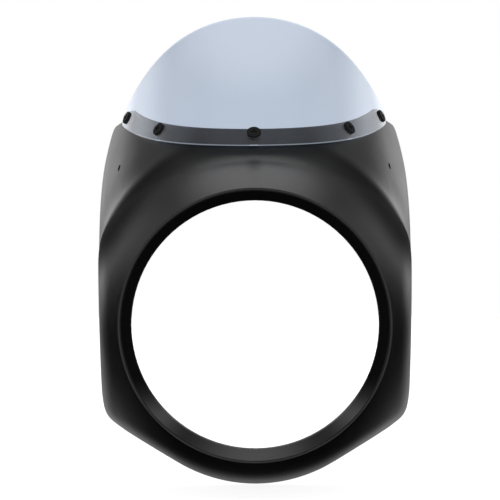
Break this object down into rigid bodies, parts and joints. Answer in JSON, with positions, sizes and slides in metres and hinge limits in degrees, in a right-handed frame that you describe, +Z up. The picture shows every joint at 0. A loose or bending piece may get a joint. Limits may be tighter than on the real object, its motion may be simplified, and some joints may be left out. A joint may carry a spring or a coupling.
{
  "type": "headlight cowl",
  "caption": "Black moulded motorbike headlight cowl with a round lamp tunnel, flared cheeks and a pointed keel, and a light smoke windscreen screwed along its top edge into rubber well nuts.",
  "frame": {"origin": "middle of the round lamp bore, on its axis", "axes": "+Z up, +Y along the bore axis to the rear, so the cowl faces -Y, and +X to the right when seen from the front"},
  "size_m": [0.2728, 0.2314, 0.382],
  "materials": {
    "cowl_plastic": "satin black moulded plastic",
    "screen_plastic": "clear light blue-grey sheet, polished",
    "screw_black": "black steel, satin",
    "nut_rubber": "plain black rubber",
    "insert_brass": "turned brass"
  },
  "bodies": {
    "root": {"cowl_shell": "cowl_plastic", "windscreen": "screen_plastic", "screen_screws": "screw_black", "well_nuts": "nut_rubber", "well_nut_inserts": "insert_brass"}
  },
  "joints": []
}
